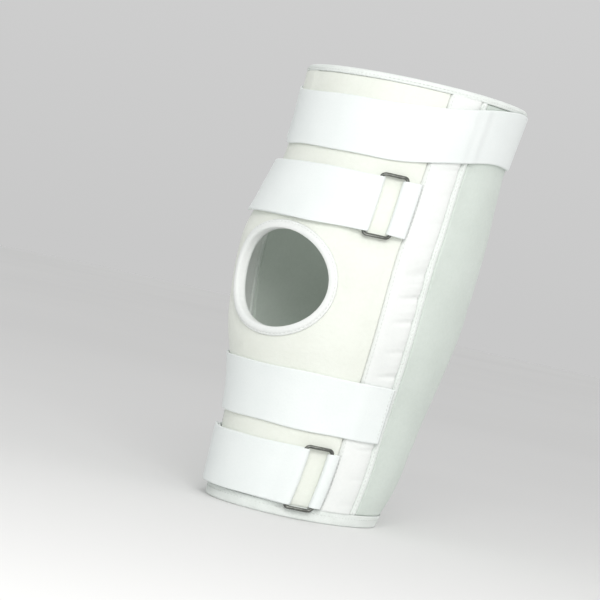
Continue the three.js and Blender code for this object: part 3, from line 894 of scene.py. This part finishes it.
def hole_binding():
    """The profile carried round the hole. Near the stitch row it ripples by a cosine of the angle."""
    beyond, out = hole_profile().T[:, None, :]
    angle = np.linspace(np.pi, 3 * np.pi, HOLE_STEPS)[:, None]
    near_row = bell(beyond / HOLE_BAND - STITCH_ROW, RIPPLE_WIDTH)
    ripple = HOLE_RIPPLE * np.cos(angle * HOLE_RIPPLES) * near_row * (out > LAY)
    arc, height = around_hole(angle, beyond)
    points = skin(arc, height, out + ripple)
    round_hole = angle * (HOLE_HALF_WIDTH + HOLE_HALF_HEIGHT) / 2
    chart = np.stack(np.broadcast_arrays(round_hole, beyond), -1)
    return grid_piece("knee_hole_binding_cloth", points, chart, "knee_hole_binding")


hole_binding().data.materials.append(pocket_cloth)


# Straps. Hook-and-loop strap 45 mm wide and 2 mm thick, white loop pile outside with a firm woven edge.
# Two are sewn in on the left, run through a ring and fold back. The upper calf strap is sewn into the
# right rear seam and pressed on the back. The uppermost goes right round and laps over its own start.
STRAP_THICKNESS = 0.002
LAYER = STRAP_THICKNESS + LAY
FIRST_LAYER = LAY + STRAP_THICKNESS / 2
RAMP = 0.008
EDGE_CLIMB = 0.0014
CREST = POCKET_RAISE + SEAM_GAP
TAPE_CREST = TAPE_RAISE + SEAM_GAP
LAP_SHORT = 0.008
SEWN_BEHIND = 0.020
WIRE = 0.0028
RING_WIDTH = 0.020
FOLD_RADIUS = WIRE / 2 + LAY + STRAP_THICKNESS / 2
BAR_OUT = FIRST_LAYER + FOLD_RADIUS


def over_pocket(height, layer):
    """Stations of a strap that crosses the pocket and its tape, from the front backwards: distance
    round the sleeve and distance out of the skin."""
    front, rear, behind = pocket_front(height), pocket_rear(height), tape_rear(height)
    return [
        (front - RAMP, layer),
        (front - 0.001, layer + EDGE_CLIMB),
        (front + RAMP / 2, layer + CREST),
        (rear - RAMP / 2, layer + CREST),
        (rear + 0.001, layer + TAPE_CREST),
        (behind + 0.001, layer + TAPE_CREST),
        (behind + RAMP, layer),
    ]


def mirrored(stations):
    """The same stations on the left side, read from the back forwards."""
    return [(-arc, out) for arc, out in reversed(stations)]


STRAP_STEP = 0.0018
BEND_SOFTNESS = 0.0016


def along_stations(stations):
    """Centre line through the stations: straight stretches cut into even steps, then blurred by a
    short bell curve, so that the strap bends over the edges without corners. Past both ends the
    line is turned about its end point first. stations are arrays over the height; the steps come
    from their middle row."""
    arcs = np.stack([np.broadcast_to(arc, stations[0][0].shape) for arc, _ in stations])
    outs = np.stack([np.broadcast_to(out, stations[0][0].shape) for _, out in stations])
    middle_row = arcs.shape[1] // 2
    run = np.hypot(np.diff(arcs[:, middle_row]), np.diff(outs[:, middle_row]))
    travelled = np.concatenate([[0], np.cumsum(run)])
    at = np.linspace(0, travelled[-1], max(12, int(travelled[-1] / STRAP_STEP)))
    station = np.clip(np.searchsorted(travelled, at, side="right") - 1, 0, len(run) - 1)
    part = ((at - travelled[station]) / np.maximum(run[station], 1e-9))[:, None]
    reach = int(3 * BEND_SOFTNESS / STRAP_STEP) + 1
    blur = bell(np.arange(-reach, reach + 1) * STRAP_STEP, BEND_SOFTNESS * math.sqrt(2))
    blur = blur / blur.sum()
    lines = []
    for values in (arcs, outs):
        line = values[station] * (1 - part) + values[station + 1] * part
        before, after = 2 * line[:1] - line[reach:0:-1], 2 * line[-1:] - line[-2 : -reach - 2 : -1]
        longer = np.concatenate([before, line, after])
        lines.append(np.stack([np.convolve(column, blur, "valid") for column in longer.T], -1))
    return lines


STRAP_COLUMNS, STRAP_MARGIN = 11, 0.03
SELVAGE, SELVAGE_WIDTH, SELVAGE_DEPTH = 0.0032, 0.0006, 0.0003
EDGE_WAVE, EDGE_WAVE_LONG, EDGE_WAVE_SHORT = 0.0004, 0.021, 0.0095
FACE_WAVE, FACE_WAVE_LONG = 0.00018, 0.034


def strap_band(name, stations_at, foot, node, seed, rise=None):
    """Strap along its stations: a thick line in the plane of distance round and distance out, moved
    up from the lower edge to the upper. The long edges are round and wave a little, and the loop
    side has a shallow groove, a bell curve across, along each woven edge."""
    share_up = edge_spaced(STRAP_COLUMNS, STRAP_MARGIN)
    from_edge = np.minimum(share_up, 1 - share_up) * STRAP_WIDTH
    height = foot + STRAP_WIDTH * share_up
    arc, out = along_stations(stations_at(height))
    climb = rise(arc, height) if rise else 0
    step_arc, step_out = np.gradient(arc, axis=0), np.gradient(out, axis=0)
    length = np.hypot(step_arc, step_out)
    side_arc, side_out = -step_out / length, step_arc / length
    travelled = np.concatenate([[0], np.cumsum(length[1:, 0])])
    ends = rounded(np.minimum(travelled, travelled[-1] - travelled), STRAP_THICKNESS / 2)[:, None]
    half = STRAP_THICKNESS / 2 * rounded(from_edge, STRAP_THICKNESS / 2) * ends
    half[:, [0, -1]] = 0
    half[[0, -1], :] = 0
    groove = SELVAGE_DEPTH * bell(from_edge - SELVAGE, SELVAGE_WIDTH) * (half > 0)
    start = np.random.default_rng(seed).uniform(0, 6, 3)
    wave = np.sin(travelled / EDGE_WAVE_LONG + start[0])
    wave = wave + 0.6 * np.sin(travelled / EDGE_WAVE_SHORT + start[1])
    level = height + climb + EDGE_WAVE * wave[:, None] * (2 * share_up - 1) ** 3
    tilt = np.sin(travelled / FACE_WAVE_LONG + start[2])[:, None] * np.cos(np.pi * share_up)
    lift = FACE_WAVE * tilt
    outer = skin(arc + side_arc * (half - groove), level, out + side_out * (half - groove) + lift)
    inner = skin(arc - side_arc * half, level, out - side_out * half + lift)
    chart = np.stack(np.broadcast_arrays(travelled[:, None], STRAP_WIDTH * share_up), -1)
    piece = walled_piece(name, outer, inner, chart, node)
    piece["flat_length"] = float(travelled[-1])
    return piece


# Short dense loops over the whole width, smoother and brighter than the brushed cloth
STRAP_DARK = (0.865, 0.91, 0.90)
STRAP_LIGHT = (0.94, 0.975, 0.965)
strap_cloth = brushed_cloth(
    "strap_loop_pile", STRAP_DARK, STRAP_LIGHT, 2300.0, 620.0, 0.00022, sheen=0.2
)


def onto_pocket(height, layer):
    """Stations up to the crest of the pocket, and the end that is sewn into its rear seam."""
    return [*over_pocket(height, layer)[:4], (pocket_rear(height) - SEAM_GAP, layer + CREST)]


def fold_round(arc, towards):
    """Half turn round a ring's long side, from under it to over it, on the opening's side."""
    turns = np.linspace(-np.pi / 2, np.pi / 2, 13)
    return [
        (arc + towards * FOLD_RADIUS * math.cos(t), BAR_OUT + FOLD_RADIUS * math.sin(t) + 0 * arc)
        for t in turns
    ]


def uppermost_stations(height):
    """Once round the sleeve and over its own start."""
    whole, start = girth(height), -tape_rear(height) - SEWN_BEHIND
    over = mirrored(over_pocket(height, FIRST_LAYER + LAYER))[:4]
    return [
        (start, FIRST_LAYER),
        *mirrored(over_pocket(height, FIRST_LAYER)),
        *over_pocket(height, FIRST_LAYER),
        (whole + start - 2 * RAMP, FIRST_LAYER),
        (whole + start - 0.002, FIRST_LAYER + LAYER),
        *[(whole + arc, out) for arc, out in over],
        (whole - pocket_front(height) - LAP_SHORT, FIRST_LAYER + LAYER + CREST),
    ]


def pressed_on_back_stations(height):
    """From the hook end on the back, over the left pocket and the front, to the right rear seam."""
    return [
        (-tape_rear(height) - HOOK_LENGTH, FIRST_LAYER),
        *mirrored(over_pocket(height, FIRST_LAYER)),
        *onto_pocket(height, FIRST_LAYER),
    ]


def ring_strap_stations(height, before_pocket):
    """From the left rear seam to the ring, round its side and back over the front."""
    side = pocket_front(height) - before_pocket - RING_WIDTH / 2
    back = over_pocket(height, FIRST_LAYER + LAYER)[:3]
    return [
        *mirrored(onto_pocket(height, FIRST_LAYER)),
        *fold_round(side, 1),
        (side - RING_WIDTH * 0.7, FIRST_LAYER + LAYER),
        *[(-arc, out) for arc, out in back],
        (-pocket_front(height) - LAP_SHORT, FIRST_LAYER + LAYER + CREST),
    ]


THIGH_RING_BEFORE_POCKET = 0.023
CALF_RING_BEFORE_POCKET = 0.017
STRAPS = [
    ("thigh_strap_upper", uppermost_stations, strap_rise, 5),
    ("thigh_strap_lower", lambda height: ring_strap_stations(height, THIGH_RING_BEFORE_POCKET), None, 6),
    ("calf_strap_upper", pressed_on_back_stations, None, 7),
    ("calf_strap_lower", lambda height: ring_strap_stations(height, CALF_RING_BEFORE_POCKET), None, 8),
]
for node, stations_at, rise, seed in STRAPS:
    strap = strap_band(f"{node}_band", stations_at, STRAP_FOOT[node], node, rise=rise, seed=seed)
    strap.data.materials.append(strap_cloth)


# Rings and tabs. Each ring is bent from 2.8 mm nickel-plated wire. A short tab of the strap material,
# sewn in at the pocket's front edge, is folded round the ring's rear side and holds it.
def ring_tab_stations(height, before_pocket):
    """From the pocket's front edge to the ring, round its side and back."""
    edge = pocket_front(height) - SEAM_GAP
    side = pocket_front(height) - before_pocket + RING_WIDTH / 2
    return [(edge, FIRST_LAYER), *fold_round(side, -1), (edge, FIRST_LAYER + LAYER)]


def clouded(name, dark, light, scale, detail, roughness, finish):
    """Material between two colours by a noise over Object coordinates. finish holds the shader's
    other values."""
    material, tree, surface = shader(name)
    place = add_node(tree, "TexCoord", {}).outputs["Object"]
    colour = mix_colours(tree, noise(tree, place, scale, detail, roughness), dark, light)
    feed(tree, surface, {"Base Color": colour, **finish})
    return material, tree, surface, place


# Both ring colours are painted far darker than nickel, as painted shade on the wire; the noise between
# them stands for grime
RING_GRIME_AND_SHADE = (0.10, 0.105, 0.095)
RING_NICKEL_SHADED = (0.22, 0.225, 0.21)


def dull_nickel_painted_dark():
    """Nickel plate gone dull, both its colours painted far darker than nickel as painted shade: dark
    grime where the noise is low, fine scratches in the roughness.
    """
    material, tree, surface, place = clouded(
        "dull_nickel_painted_dark", RING_GRIME_AND_SHADE, RING_NICKEL_SHADED, 420.0, 4.0, 0.6, {"Metallic": 1.0}
    )
    scratches = noise(tree, place, 2600.0, 2.0, 0.5)
    rough = arithmetic(tree, "ADD", arithmetic(tree, "MULTIPLY", scratches, 0.25), 0.25)
    feed(tree, surface, {"Roughness": rough})
    return material


nickel = dull_nickel_painted_dark()
RING_CORNER = 0.003
RING_PLAY = 0.0008
RING_STEPS, WIRE_STEPS = 140, 14


def wire_ring(name, before_pocket, centre, node):
    """Round wire carried along a rectangle with round corners, laid in the plane of distance round
    and height, at the straps' fold."""
    bend_at = np.array([RING_WIDTH / 2, STRAP_WIDTH / 2 + RING_PLAY + WIRE / 2]) - RING_CORNER
    corners = []
    for quarter, signs in enumerate([(1, 1), (-1, 1), (-1, -1), (1, -1)]):
        turn = np.linspace(0, np.pi / 2, 9) + quarter * np.pi / 2
        corners.append(bend_at * signs + RING_CORNER * np.stack([np.cos(turn), np.sin(turn)], -1))
    line = np.concatenate([*corners, corners[0][:1]])
    run = np.concatenate([[0], np.cumsum(np.linalg.norm(np.diff(line, axis=0), axis=1))])
    at = np.linspace(0, run[-1], RING_STEPS, endpoint=False)
    line = np.stack([np.interp(at, run, line[:, 0]), np.interp(at, run, line[:, 1])], -1)
    ahead = np.roll(line, -1, axis=0) - np.roll(line, 1, axis=0)
    ahead = ahead / np.linalg.norm(ahead, axis=1, keepdims=True)
    around = np.linspace(0, 2 * np.pi, WIRE_STEPS, endpoint=False)[None, :]
    beside = WIRE / 2 * np.cos(around)
    height = centre + line[:, 1:2] - ahead[:, 0:1] * beside
    arc = pocket_front(height) - before_pocket + line[:, 0:1] + ahead[:, 1:2] * beside
    points = skin(arc, height, BAR_OUT + WIRE / 2 * np.sin(around))
    chart = np.stack([arc, height], -1)
    ring = grid_piece(name, points, chart, node, wrap_rows=True)
    ring.data.materials.append(nickel)


TAB_SEED = 21
for part, before_pocket in (("thigh", THIGH_RING_BEFORE_POCKET), ("calf", CALF_RING_BEFORE_POCKET)):
    foot, node = STRAP_FOOT[f"{part}_strap_lower"], f"{part}_ring_tab"
    stations_at = lambda height: ring_tab_stations(height, before_pocket)
    tab = strap_band(f"{node}_band", stations_at, foot, node, TAB_SEED)
    tab.data.materials.append(strap_cloth)
    wire_ring(f"{part}_ring_wire", before_pocket, foot + STRAP_WIDTH / 2, f"{part}_ring")


# Stitches. White polyester thread, about three stitches to the centimetre, through every sewn edge:
# both edges of the pockets, the tapes, the rims, the hole's binding, the tabs and the strap ends.
STITCH_PITCH = 0.0034
STITCH_LENGTH = 0.0024
THREAD = 0.0003
SUNK_SHARE = 0.4
ALONG_STEPS, ROUND_STEPS = 7, 6


def stitches(arc, height, out):
    """Row of short threads along a path over the skin: each is a round thread that swells from a
    pointed end to its middle and back, as the root of half a sine wave, and bows out by half a sine
    wave between its two holes."""
    line = skin(arc, height, out)
    run = np.concatenate([[0], np.cumsum(np.linalg.norm(np.diff(line, axis=0), axis=1))])
    centres = np.arange(STITCH_PITCH / 2, run[-1], STITCH_PITCH)
    part = np.linspace(0, 1, ALONG_STEPS)
    at = centres[:, None] + STITCH_LENGTH * (part - 0.5)[None, :]
    arc, height, out = (np.interp(at, run, value) for value in (arc, height, out))
    middle = skin(arc, height, out)
    outward = skin(arc, height, out + 0.001) - middle
    outward = outward / np.linalg.norm(outward, axis=-1, keepdims=True)
    ahead = middle[:, -1:] - middle[:, :1]
    aside = np.cross(outward, ahead / np.linalg.norm(ahead, axis=-1, keepdims=True))
    swell = np.sin(np.pi * part)[None, :, None]
    middle = middle + outward * THREAD * (swell - SUNK_SHARE)
    around = np.linspace(0, 2 * np.pi, ROUND_STEPS, endpoint=False)[None, None, :, None]
    ring = np.cos(around) * aside[:, :, None] + np.sin(around) * outward[:, :, None]
    points = middle[:, :, None] + THREAD * np.sqrt(swell)[..., None] * ring
    one = grid_faces(ALONG_STEPS, ROUND_STEPS, wrap_columns=True)
    first = np.arange(len(centres))[:, None, None] * ALONG_STEPS * ROUND_STEPS
    return points.reshape(-1, 3), (first + one[None]).reshape(-1, 4)


def sewn(name, rows, cloth):
    """All the stitches of one group of rows as one piece. The thread needs no map, so it is 0."""
    parts = [stitches(*row) for row in rows]
    first = np.cumsum([0] + [len(points) for points, _ in parts])
    faces = np.concatenate([faces + start for (_, faces), start in zip(parts, first)])
    points = np.concatenate([points for points, _ in parts])
    piece = make_piece(name, points, faces, np.zeros((len(points), 2)))
    piece.data.materials.append(cloth)


THREAD_DARK = (0.70, 0.73, 0.70)
THREAD_LIGHT = (0.84, 0.86, 0.84)
thread = clouded("polyester_thread", THREAD_DARK, THREAD_LIGHT, 2400.0, 2.0, 0.5, {"Roughness": 0.5})[0]

SEAM_INSET = 0.0017
up_the_side = np.linspace(HEM_HEIGHT + 0.001, top_low.z - 0.001, 600)
pocket_rows = (pocket_front(up_the_side) + SEAM_INSET, pocket_rear(up_the_side) - SEAM_INSET)
side_rows = []
for sign in (-1, 1):
    for edge in pocket_rows:
        side_rows.append((sign * edge, up_the_side, pocket_face(edge, up_the_side)))
    for row in TAPE_ROWS:
        edge = pocket_rear(up_the_side) + TAPE_WIDTH * row
        side_rows.append((sign * edge, up_the_side, tape_face(edge, up_the_side)))
sewn("side_stitches", side_rows, thread)

HEM_ROW = 0.0068
TOP_ROW = 0.0011
once_round = np.linspace(0.5, 1.5, 1500)
rim_rows = [
    (once_round * girth(level), np.full(once_round.shape, level), np.full(once_round.shape, HEM_RAISE))
    for level in (HEM_ROW, top_low.z + TOP_ROW)
]
round_angle = np.linspace(0, 2 * np.pi, 900)
row_out = np.full(round_angle.shape, LAY + band_crown(STITCH_ROW) - STITCH_DIP)
rim_rows.append((*around_hole(round_angle, STITCH_ROW * HOLE_BAND), row_out))
sewn("rim_stitches", rim_rows, thread)

ROW_ENDS = 0.003


def across_strap(node, seam, inset, out):
    """Row of stitches up a strap, an inset in front of a seam, on a layer that lies out by out."""
    up = np.linspace(STRAP_FOOT[node] + ROW_ENDS, STRAP_FOOT[node] + STRAP_WIDTH - ROW_ENDS, 60)
    return seam(up) - inset, up, np.full(up.shape, out + STRAP_THICKNESS / 2)


strap_rows = [
    across_strap(node, pocket_front, inset, FIRST_LAYER + LAYER)
    for node in ("thigh_strap_lower", "calf_strap_lower")
    for inset in (0.003, 0.006)
]
strap_rows.append(across_strap("calf_strap_upper", pocket_rear, 0.004, FIRST_LAYER + CREST))
sewn("strap_stitches", strap_rows, thread)


# Studio. A plain pale floor that runs into the surround without a horizon, a soft lamp above the
# camera, a weak one from the left, and a pale surround that is weaker on the left.
SURROUND = 0.78
HORIZON_SHARE = 0.89
LEFT_SHARE = 0.5
FLOOR_DARK = (0.81, 0.81, 0.805)
FLOOR_LIGHT = (0.84, 0.84, 0.835)
FLOOR_REACH = 9.0


def studio_floor():
    """Flat pale floor, wide enough to reach past every view."""
    corners = FLOOR_REACH * np.array([(-1, -1, 0), (1, -1, 0), (1, 1, 0), (-1, 1, 0)])
    mesh = new_mesh("floor", corners, np.array([[0, 1, 2, 3]]))
    finish = {"Roughness": 0.95, "Specular IOR Level": 0.1}
    mesh.materials.append(clouded("floor_paint", FLOOR_DARK, FLOOR_LIGHT, 0.8, 2.0, 0.5, finish)[0])
    new_object("floor", mesh)


studio_floor()

AZIMUTH = math.radians(37.9)
ELEVATION = math.radians(0.2)
ROLL = math.radians(12.05)
DISTANCE = 1.9346
MM_PER_PIXEL = 0.8052
FRAME_PIXELS = 600
OBJECT_PIXEL = (333.7, 293.0)
SENSOR = 36.0
CLIP_END = 50


def studio_camera():
    """Camera at the photograph's viewing angle: turned round the object, rolled, and aimed so that
    the middle of the sleeve falls on its pixel of the photograph."""
    centre = Vector((AXIS_X, AXIS_Y, SLEEVE_LENGTH / 2))
    right = Vector((math.cos(AZIMUTH), math.sin(AZIMUTH), 0))
    level = math.cos(ELEVATION)
    back = Vector((math.sin(AZIMUTH) * level, -math.cos(AZIMUTH) * level, math.sin(ELEVATION)))
    up = back.cross(right)
    rolled_right = right * math.cos(ROLL) + up * math.sin(ROLL)
    rolled_up = up * math.cos(ROLL) - right * math.sin(ROLL)
    pixel = MM_PER_PIXEL / 1000
    aim = centre - rolled_right * (OBJECT_PIXEL[0] - FRAME_PIXELS / 2) * pixel
    aim = aim + rolled_up * (OBJECT_PIXEL[1] - FRAME_PIXELS / 2) * pixel
    eye = centre + back * DISTANCE
    backwards = (eye - aim).normalized()
    across = (rolled_right - backwards * rolled_right.dot(backwards)).normalized()
    upright = backwards.cross(across)
    data = bpy.data.cameras.new("camera")
    data.sensor_width = SENSOR
    data.lens = SENSOR * (DISTANCE / pixel) / FRAME_PIXELS
    data.clip_end = CLIP_END
    camera = new_object("camera", data)
    turned = Matrix((across, upright, backwards)).transposed().to_4x4()
    camera.matrix_world = Matrix.Translation(eye) @ turned
    bpy.context.scene.camera = camera
    return centre, right, back


subject, camera_right, camera_back = studio_camera()


def soft_lamp(name, place, size, watts, tint):
    """Square area lamp aimed at the middle of the object."""
    data = bpy.data.lights.new(name, "AREA")
    data.size = size
    data.energy = watts
    data.color = tint
    aimed = (place - subject).to_track_quat("Z", "Y").to_matrix().to_4x4()
    new_object(name, data).matrix_world = Matrix.Translation(place) @ aimed


UP = Vector((0, 0, 1))
key_place = subject + camera_back * 1.5 + camera_right * 0.1 + UP * 0.75
soft_lamp("key_lamp", key_place, size=0.8, watts=12.5, tint=(1.0, 0.995, 0.98))
fill_place = subject + camera_back * 1.1 - camera_right * 1.5 + UP * 0.4
soft_lamp("fill_lamp", fill_place, size=1.2, watts=1.0, tint=(0.80, 1.0, 1.0))


def surround():
    """World light: nearly the floor's tone at the horizon, so that the floor's far edge doesn't
    show, rising to the full surround overhead. It falls off towards the left, where no wall
    reflects."""
    world = bpy.data.worlds.new("surround")
    bpy.context.scene.world = world
    world.use_nodes = True
    tree = world.node_tree
    direction = add_node(tree, "TexCoord", {}).outputs["Generated"]
    upness = add_node(tree, "SeparateXYZ", {"Vector": direction}).outputs["Z"]
    horizon = SURROUND * FLOOR_LIGHT[0] * HORIZON_SHARE
    rise = {"Value": upness, "From Min": 0.0, "From Max": 0.6, "To Min": horizon, "To Max": SURROUND}
    rise = add_node(tree, "MapRange", rise).outputs["Result"]
    sides = {0: direction, 1: -camera_right}
    leftness = add_node(tree, "VectorMath", sides, operation="DOT_PRODUCT").outputs["Value"]
    fall = {"Value": leftness, "From Min": 0.15, "To Min": 1.0, "To Max": LEFT_SHARE}
    fall = add_node(tree, "MapRange", fall).outputs["Result"]
    strength = arithmetic(tree, "MULTIPLY", rise, fall)
    feed(tree, tree.nodes["Background"], {"Color": (1, 1, 1, 1), "Strength": strength})


surround()
bpy.context.scene.view_settings.view_transform = "Standard"
